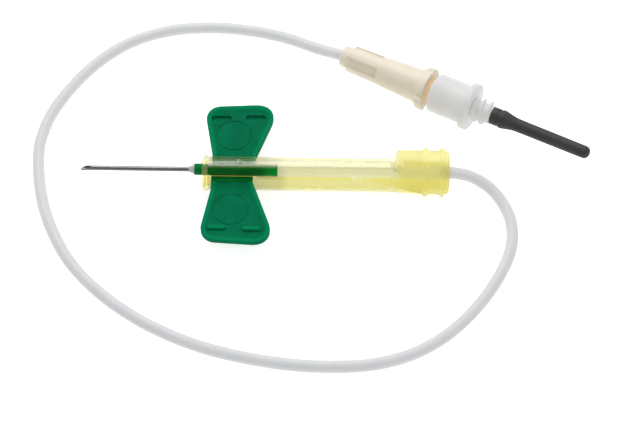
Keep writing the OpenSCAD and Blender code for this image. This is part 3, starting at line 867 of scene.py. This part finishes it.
@dataclass
class WingedHub:
    """Green hub tube with its wing roots and the two wings, in millimetres."""

    hub_x: float = 1.0
    hub_end: float = 15.4
    hub_r: float = 1.0
    lumen_r: float = 0.5
    wing_x: float = 3.9
    wing_rear: float = 11.1
    top: float = -0.6
    bottom: float = -1.6
    flex_y: float = 3.85
    reach: float = 14.1
    lead_slant: float = 0.18
    trail_slant: float = 0.37
    trail_extra: float = 0.8
    lead_r: float = 2.6
    trail_r: float = 3.0
    seam_y: float = 2.0
    rim: float = 0.55
    rim_slope: float = 0.4
    field_depth: float = 0.12
    grip_x: Pair = (5.2, 11.2)
    grip_y: float = 11.42
    grip_lean: float = 0.1
    grip_size: Pair = (3.2, 0.8)
    ring_centre: Pair = (7.5, 7.64)
    bend: Pair = (3.3, 4.4)

    def tube(self, material: bpy.types.Material) -> None:
        """Spin the hub tube, fuse the plate between the wings with it and hand it over."""
        r, soft = self.hub_r, 0.08
        outline = [(self.hub_x, 0.0), *arc((self.hub_x + soft, r - soft), soft, 180, 90, 3),
                   *arc((self.hub_end - soft, r - soft), soft, 90, 0, 3), (self.hub_end, self.lumen_r),
                   (self.hub_end - 3.0, self.lumen_r), (self.hub_end - 3.0, 0.0)]
        hub = spun("hub_tube", outline, 48)
        spread = self.seam_y + 1.0
        slab = plate("root_plate", [(self.wing_x, -spread), (self.wing_rear, -spread),
                                    (self.wing_rear, spread), (self.wing_x, spread)], self.bottom, self.top)
        soften(slab, 0.12, 3)
        for side in Side:
            self.trim(slab, side.value * self.seam_y, side.value)
        combine(hub, slab, Join.FUSE)
        smooth(hub)
        settle(hub)
        self.keep_place(hub)
        Piece(hub, Body.ROOT, "wing_green", material, ("wing_hub",)).hand_over()

    @staticmethod
    def trim(obj: bpy.types.Object, y: float, outward: int) -> None:
        """Cut away what lies beyond a Y on the outward side and close the cut."""
        with editing(obj):
            bpy.ops.mesh.select_all(action="SELECT")
            bpy.ops.mesh.bisect(plane_co=(0.0, y, 0.0), plane_no=(0.0, float(outward), 0.0), use_fill=True,
                                clear_outer=True)

    @staticmethod
    def keep_place(obj: bpy.types.Object) -> None:
        """Store each point's place at rest, for finishes on pieces that bend."""
        store = obj.data.attributes.new("rest_place", "FLOAT_VECTOR", "POINT")
        for point, slot in zip(obj.data.vertices, store.data):
            slot.vector = point.co

    def corner_run(self, before: Pair, corner: Pair, after: Pair, radius: float) -> float:
        """Give how far along its edges a corner is cut for a radius."""
        first = Vector(before) - Vector(corner)
        second = Vector(after) - Vector(corner)
        return radius / math.tan(first.angle(second) / 2)

    def grip(self, name: str, x: float, y: float, low: float, high: float,
             grow: float) -> bpy.types.Object:
        """Model a bar with round ends, or the tool that cuts a pocket for one."""
        length, width = self.grip_size[0] + 2 * grow, self.grip_size[1] + 2 * grow
        bar = block(name, (x - length / 2, y - width / 2, low), (x + length / 2, y + width / 2, high))
        with editing(bar):
            pick_edges(bar, lambda a, b: abs(a.z - b.z) > 0.1)
            bpy.ops.mesh.bevel(offset=width / 2 - 0.01, segments=7, affect="EDGES")
        soften(bar, 0.13, 3, 50)
        return bar

    def ring_tool(self, y: float, field: float) -> bpy.types.Object:
        """Model the tool that cuts the shallow plain ring."""
        floor, mouth = field - 0.08, field + 0.2
        section = [(mouth, 2.88), (floor, 2.97), (floor, 3.13), (mouth, 3.22), (mouth, 2.88)]
        ring = spun("ring_tool", section, 72)
        upright = Matrix.Rotation(math.radians(-90.0), 4, "Y")
        return turned(ring, Matrix.Translation((self.ring_centre[0], y, 0.0)) @ upright)

    def wing(self, side: Side, material: bpy.types.Material) -> None:
        """Model one wing with cuts across its bend and hand it over without attaching it to a body."""
        sign = side.value
        start = self.seam_y - 1.0
        corner_a = (self.wing_rear + self.trail_slant * (self.reach - self.seam_y) + 0.1,
                    self.reach + self.trail_extra / 2)
        corner_b = (self.wing_x - self.lead_slant * (self.reach - self.flex_y),
                    self.reach - self.trail_extra / 2)
        corners = [(self.wing_x, start), (self.wing_rear, start), (self.wing_rear, self.seam_y), corner_a,
                   corner_b, (self.wing_x, self.flex_y)]
        outline = [(x, sign * y) for x, y in corners]
        obj = chain(f"{side.name.lower()}_wing_plate", [(x, y, self.bottom) for x, y in outline])
        with editing(obj):
            bpy.ops.mesh.select_all(action="SELECT")
            bpy.ops.mesh.edge_face_add()
            for i, radius in ((3, self.trail_r), (4, self.lead_r)):
                run = self.corner_run(outline[i - 1], outline[i], outline[i + 1], radius)
                spot = Vector((*outline[i], self.bottom))
                pick_points(obj, lambda co, spot=spot: (co - spot).length < 0.01)
                bpy.ops.mesh.bevel(offset=run, segments=12, affect="VERTICES")
            bpy.ops.mesh.select_all(action="SELECT")
            bpy.ops.mesh.extrude_region_move(
                TRANSFORM_OT_translate={"value": (0.0, 0.0, self.top - self.bottom)})
            bpy.ops.mesh.select_all(action="SELECT")
            bpy.ops.mesh.normals_make_consistent(inside=False)
            pick_faces(obj, lambda face: face.normal.z > 0.9)
            bpy.ops.mesh.inset(thickness=self.rim, depth=0.0)
            bpy.ops.mesh.inset(thickness=self.rim_slope, depth=-self.field_depth)
        soften(obj, 0.1, 3, 25)
        field = self.top - self.field_depth
        for x, lean in zip(self.grip_x, (-self.grip_lean, self.grip_lean)):
            y = sign * (self.grip_y + lean)
            if side is Side.NEAR:
                combine(obj, self.grip("grip_bar", x, y, field - 0.25, field + 0.4, 0.0), Join.FUSE)
            else:
                combine(obj, self.grip("grip_pocket", x, y, field - 0.45, field + 0.6, 0.15), Join.CUT)
        combine(obj, self.ring_tool(sign * self.ring_centre[1], field), Join.CUT)
        self.trim(obj, sign * self.seam_y, -sign)
        with editing(obj):
            for i in range(12):
                bpy.ops.mesh.select_all(action="SELECT")
                y = sign * (self.bend[0] - 0.1 + 0.12 * i)
                bpy.ops.mesh.bisect(plane_co=(0.0, y, 0.0), plane_no=(0.0, 1.0, 0.0))
        smooth(obj)
        settle(obj)
        self.keep_place(obj)
        body = Body.NEAR_WING if side is Side.NEAR else Body.FAR_WING
        Piece(obj, body, "wing_green", material, (body.value,)).hand_over(ride=False)
        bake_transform(obj)


@dataclass
class Shield:
    """Sliding yellow shield: eccentric tube, side windows, flared collar and grip ribs, in millimetres."""

    front: float = 2.4
    rear: float = 45.0
    body_r: float = 2.9
    bore_r: float = 2.35
    body_z: float = -1.1
    lip_r: float = 3.15
    lip_width: float = 0.9
    collar_x: float = 35.1
    collar_r: float = 3.8
    ribs: Pair = (40.9, 43.8)
    rib_r: float = 0.4
    rib_centre: float = 3.85
    marks: Sequence[float] = (8.7, 21.2, 26.5)
    mark_lean: float = 12.0

    def window_outline(self) -> list[Pair]:
        """Give the outline of a side window in X and Z."""
        return [(3.7, -1.75), (40.4, -1.75), (40.4, -1.35), (28.2, 1.24), (28.2, 0.64), (12.6, 0.64),
                (11.4, 0.99), (3.7, 0.99)]

    def stations(self) -> list[float]:
        """Give the places of the rings from the front lip to the rear rim."""
        lip = [self.front + d for d in (0.0, 0.04, 0.12, 0.24, 0.66, 0.78, 0.86, 0.92)]
        body = [self.front + 1.4 + 1.6 * i for i in range(19)] + [34.0, 34.6]
        shoulder = [self.collar_x - 0.2 + 0.1 * i for i in range(18)]
        barrel = [36.9 + 0.3 * i for i in range(12)]
        first = [self.ribs[0] + self.rib_r * math.sin(math.radians(a)) for a in range(-90, 91, 15)]
        middle = [41.6, 42.2, 42.8, 43.1]
        second = [self.ribs[1] + self.rib_r * math.sin(math.radians(a)) for a in range(-90, 91, 15)]
        rim = [self.rear - d for d in (0.7, 0.6, 0.5, 0.4, 0.3, 0.2, 0.12, 0.05, 0.0)]
        return lip + body + shoulder + barrel + first + middle + second + rim

    def barrel_radius(self, x: float) -> float:
        """Give the collar's radius at a station, with its ribs and rounded rear rim."""
        radius = self.collar_r
        rim = x - (self.rear - 0.7)
        if rim > 0:
            radius -= 0.7 - math.sqrt(max(0.49 - rim * rim, 0.0))
        for rib in self.ribs:
            off = abs(x - rib)
            if off < self.rib_r:
                radius = max(radius, self.rib_centre + math.sqrt(self.rib_r ** 2 - off * off))
        return radius

    def lip_radius(self, x: float) -> float:
        """Give the body's radius at a station, with the lip at the front."""
        along = x - self.front
        if along > self.lip_width + 0.01:
            return self.body_r
        edge = min(along, self.lip_width - along)
        soft = 0.25
        fall = soft - math.sqrt(max(soft ** 2 - (soft - min(edge, soft)) ** 2, 0.0))
        return self.lip_r - fall

    def outer(self, x: float, angle: float) -> float:
        """Give the distance of the outer surface from the body's axis.

        Args:
            x: station along the shield.
            angle: direction round the body's axis, 0 to the far side and 90 degrees upwards.

        Returns:
            The distance in millimetres.
        """
        body = self.lip_radius(x)
        if x < self.collar_x - 0.3:
            return body
        rise = math.sin(angle) * -self.body_z
        ring = self.barrel_radius(x)
        collar = rise + math.sqrt(rise * rise - self.body_z ** 2 + ring * ring)
        sharp = min(max((x - self.collar_x + 0.15) / 1.35, 0.0), 1.0)
        sharp = math.sin(sharp * math.pi / 2) ** 1.5
        slow = min(max((x - self.collar_x + 0.1) / (self.ribs[0] - self.collar_x), 0.0), 1.0)
        t = min(max((x - 36.3) / (self.ribs[0] - 36.3), 0.0), 1.0)
        crease = -0.4 - 1.8 * math.sin(t * math.pi / 2)
        near = min(max((crease - collar * math.cos(angle)) / 0.35 + 0.5, 0.0), 1.0)
        near = near * near * (3 - 2 * near)
        weight = sharp * (1 - near) + slow * near
        return body + (collar - body) * weight

    def build(self, material: bpy.types.Material) -> None:
        """Spin the shell, shape its collar, cut the windows and hand it over."""
        places = self.stations()
        outside = [(x, self.body_r) for x in places]
        inside = [(x, self.bore_r) for x in reversed(places)]
        shell = spun("shield_moulding", [*outside, *inside, outside[0]], 96)
        halfway = (self.body_r + self.bore_r) / 2
        for point in shell.data.vertices:
            radius = math.hypot(point.co.y, point.co.z)
            angle = math.atan2(point.co.z, point.co.y)
            if radius > halfway:
                radius = self.outer(point.co.x, angle)
            point.co.y = radius * math.cos(angle)
            point.co.z = radius * math.sin(angle) + self.body_z
        tool = chain("window_tool", [(x, -5.0, z) for x, z in self.window_outline()])
        with editing(tool):
            bpy.ops.mesh.select_all(action="SELECT")
            bpy.ops.mesh.edge_face_add()
            bpy.ops.mesh.extrude_region_move(TRANSFORM_OT_translate={"value": (0.0, 10.0, 0.0)})
            bpy.ops.mesh.select_all(action="SELECT")
            bpy.ops.mesh.normals_make_consistent(inside=False)
        combine(shell, tool, Join.CUT)
        for x in self.marks:
            combine(shell, self.mark(x), Join.FUSE)
        smooth(shell, 40.0)
        settle(shell)
        Piece(shell, Body.SHIELD, "shield_yellow", material, ("safety_shield",)).hand_over()

    def mark_places(self) -> list[Triple]:
        """Give the middles of the mould marks in metres."""
        lean, reach = math.radians(self.mark_lean), self.body_r + 0.08
        return [(x * MM, reach * math.sin(lean) * MM, (self.body_z + reach * math.cos(lean)) * MM)
                for x in self.marks]

    def mark(self, x: float) -> bpy.types.Object:
        """Model the round mark of a mould pin on the crown."""
        root, crown = self.body_r - 0.2, self.body_r + 0.08
        disc = spun("mark_tool", [(root, 0.0), (root, 0.5), (crown - 0.04, 0.5), (crown, 0.44),
                                  (crown, 0.0)], 24)
        upright = Matrix.Rotation(math.radians(-90.0), 4, "Y")
        lean = Matrix.Rotation(math.radians(-self.mark_lean), 4, "X")
        return turned(disc, Matrix.Translation((x, 0.0, self.body_z)) @ lean @ upright)


@dataclass
class ConnectorEnd:
    """Cream connector hub, clear tube adapter and black rubber sleeve on one slanting line."""

    place: Triple = (26.7, 26.4, -1.913)
    turn: float = -28.7
    tilt: float = 4.343
    length: float = 17.5
    collar_r: float = 1.95
    rib_start: float = 1.4
    rear_r: float = 2.45
    step_x: float = 8.225
    barrel_r: float = 2.7
    mouth_end_r: float = 3.15
    flange_x: float = 16.4
    flange_r: float = 3.4
    lug_r: float = 3.9
    lug_width: float = 4.4
    lug_turn: float = 18.0
    mouth_r: float = 2.15
    mouth_depth: float = 9.0
    taper: float = 0.03
    skirt_x: float = 18.5
    skirt_r: float = 3.55
    disc_x: float = 25.1
    disc_r: float = 4.25
    shank_x: float = 26.3
    shank_r: float = 1.7
    crest_r: float = 2.275
    pitch: float = 1.37
    sleeve_x: float = 30.0
    sleeve_length: float = 18.7
    line: Matrix = field(init=False)

    def __post_init__(self) -> None:
        """Work out the matrix that brings the line to its place."""
        self.line = (Matrix.Translation(self.place) @ Matrix.Rotation(math.radians(self.turn), 4, "Z")
                     @ Matrix.Rotation(math.radians(-self.tilt), 4, "Y"))

    def mouth(self) -> tuple[Triple, Triple]:
        """Give the middle of the mouth in metres and the direction of the line."""
        middle = self.line @ Vector((self.length, 0.0, 0.0)) * MM
        axis = self.line.to_3x3() @ Vector((1.0, 0.0, 0.0))
        return tuple(middle), tuple(axis)

    def socket(self, material: bpy.types.Material) -> None:
        """Model the connector hub with its panels, barrel, flange and lugs."""
        inner = self.mouth_r - self.taper * self.mouth_depth
        soft, lip = 0.3, 0.25
        outline = [(0.0, 0.0), (0.0, 1.2), *arc((soft, self.collar_r - soft), soft, 165, 90, 4),
                   (self.rib_start, self.collar_r),
                   *arc((self.rib_start + soft, self.rear_r - soft), soft, 180, 90, 4),
                   (self.step_x - 0.3, self.barrel_r - 0.12), (self.step_x, self.barrel_r - 0.08),
                   (self.step_x + 0.35, self.barrel_r), (self.flange_x - 0.9, self.mouth_end_r - 0.1),
                   (self.flange_x - 0.5, self.mouth_end_r - 0.02),
                   (self.flange_x - 0.15, self.flange_r - 0.12),
                   *arc((self.flange_x + 0.15, self.flange_r - 0.15), 0.15, 150, 90, 2),
                   *arc((self.length - 0.2, self.flange_r - 0.2), 0.2, 90, 0, 4),
                   *arc((self.length - lip, self.mouth_r + lip), lip, 0, -90, 4),
                   (self.length - self.mouth_depth, inner), (self.length - self.mouth_depth, 0.5),
                   (2.0, 0.5), (2.0, 0.0)]
        hub = spun("connector_moulding", outline, 72)
        for quarter in range(4):
            low = (self.rib_start - 0.6, -1.06, self.collar_r)
            panel = block("panel_tool", low, (self.step_x - 0.5, 1.06, self.rear_r + 2.0))
            soften(panel, 0.14, 3, 50)
            turn = Matrix.Rotation(math.radians(57.0 + 90.0 * quarter), 4, "X")
            combine(hub, turned(panel, turn), Join.CUT)
        combine(hub, self.lugs(), Join.FUSE)
        smooth(hub)
        settle(hub, self.line)
        Piece(hub, Body.ROOT, "cream", material, ("connector_hub",)).hand_over()

    def lugs(self) -> bpy.types.Object:
        """Model the two lugs of the flange as one bar with round ends and a hole for the mouth."""
        end = self.length
        root, back = 2.6, self.flange_x - 0.6
        bar = spun("lug_bar", [(back, root), (back, self.mouth_end_r - 0.1),
                               (self.flange_x - 0.1, self.lug_r - 0.12), (self.flange_x + 0.2, self.lug_r),
                               (end, self.lug_r), (end, root), (back, root)], 72)
        with editing(bar):
            for sign in (-1.0, 1.0):
                bpy.ops.mesh.select_all(action="SELECT")
                bpy.ops.mesh.bisect(plane_co=(0.0, 0.0, sign * self.lug_width / 2),
                                    plane_no=(0.0, 0.0, sign), use_fill=True, clear_outer=True)
        soften(bar, 0.25, 4, 45)
        return turned(bar, Matrix.Rotation(math.radians(self.lug_turn), 4, "X"))

    def thread(self) -> bpy.types.Object:
        """Wind the thread of the shank."""
        foot, crest = 0.36, 0.14
        x = self.shank_x + 0.05
        section = [(x - foot, self.shank_r - 0.1), (x - crest, self.crest_r), (x + crest, self.crest_r),
                   (x + foot, self.shank_r - 0.1)]
        obj = chain("thread", [(x, r, 0.0) for x, r in [*section, section[0]]])
        with editing(obj):
            bpy.ops.mesh.select_all(action="SELECT")
            bpy.ops.mesh.remove_doubles(threshold=1e-4)
        turns, steps, fade = 2.45, 118, 10
        apply_modifier(obj, "SCREW", axis="X", angle=math.tau * turns, screw_offset=self.pitch * turns,
                       steps=steps, render_steps=steps, use_merge_vertices=False)
        rings = len(obj.data.vertices) // 4
        for index, point in enumerate(obj.data.vertices):
            ring = index // 4
            left = min(ring, rings - 1 - ring)
            radius = math.hypot(point.co.y, point.co.z)
            if left < fade and radius > self.shank_r:
                wanted = self.shank_r - 0.08 + (radius - self.shank_r + 0.08) * left / fade
                point.co.y *= wanted / radius
                point.co.z *= wanted / radius
        with editing(obj):
            bpy.ops.mesh.select_mode(type="EDGE")
            bpy.ops.mesh.select_all(action="SELECT")
            bpy.ops.mesh.fill_holes(sides=6)
            bpy.ops.mesh.select_all(action="SELECT")
            bpy.ops.mesh.normals_make_consistent(inside=False)
        return obj

    def adapter(self, material: bpy.types.Material) -> None:
        """Model the clear adapter: male cone, skirt, stop disc, threaded shank and nose."""
        cone_x, cone_end, core_r = self.length - 7.5, 2.15, 2.2
        recess_end, recess_r, edge = self.skirt_x + 2.6, self.skirt_r - 0.9, 0.65
        nose_r, nose_end, needle_r = 1.0, self.sleeve_x + 2.4, 0.43
        seat = self.sleeve_x - 6.0
        outline = [(cone_x, 0.5), (cone_x, 1.75), *arc((cone_x + 0.15, 1.75), 0.15, 180, 90, 2),
                   (self.skirt_x, cone_end), (recess_end, core_r), (recess_end, recess_r),
                   (self.skirt_x + 0.1, recess_r),
                   *arc((self.skirt_x + edge, self.skirt_r - edge), edge, 180, 90, 7),
                   (self.disc_x - 0.15, self.skirt_r),
                   *arc((self.disc_x - 0.15, self.skirt_r + 0.15), 0.15, 270, 360, 2),
                   *arc((self.disc_x + 0.2, self.disc_r - 0.2), 0.2, 180, 90, 3),
                   *arc((self.shank_x - 0.2, self.disc_r - 0.2), 0.2, 90, 0, 3),
                   *arc((self.shank_x + 0.15, self.shank_r + 0.15), 0.15, 180, 270, 2),
                   *arc((self.sleeve_x - 0.15, self.shank_r - 0.15), 0.15, 90, 0, 2), (self.sleeve_x, nose_r),
                   (nose_end, nose_r), (nose_end, needle_r), (seat, needle_r), (seat, 0.5), (cone_x, 0.5)]
        obj = spun("adapter_moulding", outline, 72)
        combine(obj, self.thread(), Join.FUSE)
        smooth(obj)
        settle(obj, self.line)
        Piece(obj, Body.ADAPTER, "adapter_clear", material, ("tube_adapter",)).hand_over()

    def sleeve(self, material: bpy.types.Material) -> None:
        """Model the rubber sleeve with its gripping end, neck and closed tip."""
        x, end = self.sleeve_x, self.sleeve_x + self.sleeve_length
        grip, neck, slim, bore = 1.57, 1.15, 1.13, 0.61
        outline = [(end - 2.5, 0.0), (end - 2.5, bore), (x + 2.42, bore), (x + 2.42, 1.05), (x, 1.05),
                   (x, grip - 0.18), *arc((x + 0.18, grip - 0.18), 0.18, 180, 90, 3), (x + 1.22, grip),
                   (x + 1.36, grip - 0.04), (x + 1.5, grip - 0.09), (x + 1.64, grip - 0.02),
                   (x + 1.85, grip + 0.07), (x + 2.2, grip + 0.07), (x + 2.5, grip + 0.02),
                   (x + 3.0, grip - 0.09), (x + 3.6, grip - 0.22), (x + 4.2, grip - 0.33),
                   (x + 4.8, grip - 0.39), (x + 5.6, neck + 0.01), (x + 7.0, neck), (x + 12.0, slim + 0.01),
                   (end - 2.0, slim - 0.01), *arc((end - 1.0, slim - 1.0), 0.99, 90, 20, 6),
                   (end - 0.1, 0.3), (end - 0.05, 0.2), (end, 0.12), (end, 0.0)]
        obj = spun("stopper_sleeve", outline, 48)
        smooth(obj, 60.0)
        settle(obj, self.line)
        Piece(obj, Body.ADAPTER, "sleeve_black", material, ("rubber_sleeve",)).hand_over()


@dataclass
class NeedleBond:
    """Cone of clear adhesive at the nose of the hub, in millimetres."""

    length: float = 1.0
    needle_r: float = 0.43
    nose_r: float = 0.92

    def build(self, material: bpy.types.Material) -> None:
        """Spin the cone and hand it over."""
        steps = 10
        rise = self.nose_r - self.needle_r - 0.05
        flank = [(0.03 + (self.length - 0.03) * t / steps, self.needle_r + 0.05 + rise * (t / steps) ** 1.35)
                 for t in range(steps + 1)]
        outline = [(0.0, self.needle_r), *flank, (self.length, self.needle_r), (0.0, self.needle_r)]
        cone = spun("adhesive_cone", outline, 48)
        smooth(cone, 50.0)
        settle(cone)
        Piece(cone, Body.ROOT, "adhesive", material, ("adhesive_bead",)).hand_over()


def dress_steel(material: bpy.types.Material) -> None:
    """Give the two needles of the frame their finish."""
    for name in ("needle_cannula", "tube_needle"):
        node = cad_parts[name]
        for slot in node.material_slots:
            slot.material = material
        log.info("%s: steel", name)


def main() -> None:
    """Build the stage and every piece; each piece logs its face count as it is handed over."""
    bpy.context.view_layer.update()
    Studio().build()
    # The tubing has a painted glow, in its own colour inside the shield and greyer elsewhere.
    clear = TubeFinish("tubing clear", (209, 210, 211), (201, 203, 205), rough=0.38, spread=0.06,
                       amount=0.35, scale=260.0, depth=0.000004, transmission=0.25, index=1.4,
                       specular=0.3, glow=0.42)
    Tubing().build(clear.build())
    # The wings carry a painted sheen on the raised rim.
    green = WingFinish("moulded green", (0, 112, 76), (0, 99, 64), rough=0.55, spread=0.16, amount=0.6,
                       scale=420.0, depth=0.000012, specular=0.02)
    # The hub has a painted glow in its own colour at its rear end, inside the shield.
    hub_green = TubeFinish("hub green", (0, 116, 50), (0, 104, 43), rough=0.45, amount=0.5, scale=300.0,
                           specular=0.05, glow=0.6, start=0.0122, end=0.02, other_glow=(0, 0, 0))
    hub = WingedHub()
    hub.tube(hub_green.build())
    for side in Side:
        hub.wing(side, green.build())
    shield = Shield()
    # The shield carries painted shade under the windows and along the crown, and a painted glow.
    yellow = ShieldFinish("moulded yellow", (211, 204, 132), (206, 198, 122), rough=0.22, spread=0.06,
                          amount=0.5, scale=160.0, depth=0.000004, transmission=1.0, index=1.15,
                          specular=0.5, alpha=0.5, coat=1.0, coat_rough=0.1, coat_index=1.95,
                          glow=0.45, pins=shield.mark_places())
    shield.build(yellow.build())
    end = ConnectorEnd()
    mouth, axis = end.mouth()
    # The cream hub has a painted warm light in its mouth, in colour and glow.
    cream = SocketFinish("moulded cream", (230, 221, 202), (222, 212, 190), rough=0.45, amount=0.5,
                         scale=240.0, depth=0.000008, glow=0.24, mouth_glow=(224, 202, 158), mouth=mouth,
                         axis=axis, radius=0.0024)
    end.socket(cream.build())
    # The adapter has a painted grey glow all over and a painted warm light at the cone in the mouth.
    frosted = SocketFinish("frosted clear", (208, 207, 206), (201, 200, 199), rough=0.4, amount=0.4,
                           scale=260.0, depth=0.000006, transmission=0.25, index=1.35, specular=0.3,
                           glow=0.3, mouth_glow=(216, 194, 158), mouth=mouth, axis=axis, radius=0.0026,
                           depth_in=0.0004, front=0.0009, other_glow=(182, 182, 182))
    end.adapter(frosted.build())
    rubber = Finish("black rubber", (56, 57, 56), (48, 49, 48), rough=0.5, spread=0.14, amount=0.6,
                    scale=500.0, depth=0.00001, specular=0.3)
    end.sleeve(rubber.build())
    milky = Finish("set adhesive", (196, 199, 196), (182, 185, 182), rough=0.2, amount=0.5, scale=900.0,
                   depth=0.000006, alpha=0.82)
    NeedleBond().build(milky.build())
    dress_steel(SteelFinish("drawn steel").build())


if __name__ == "__main__":
    logging.basicConfig(level=logging.INFO, format="%(message)s")
    main()
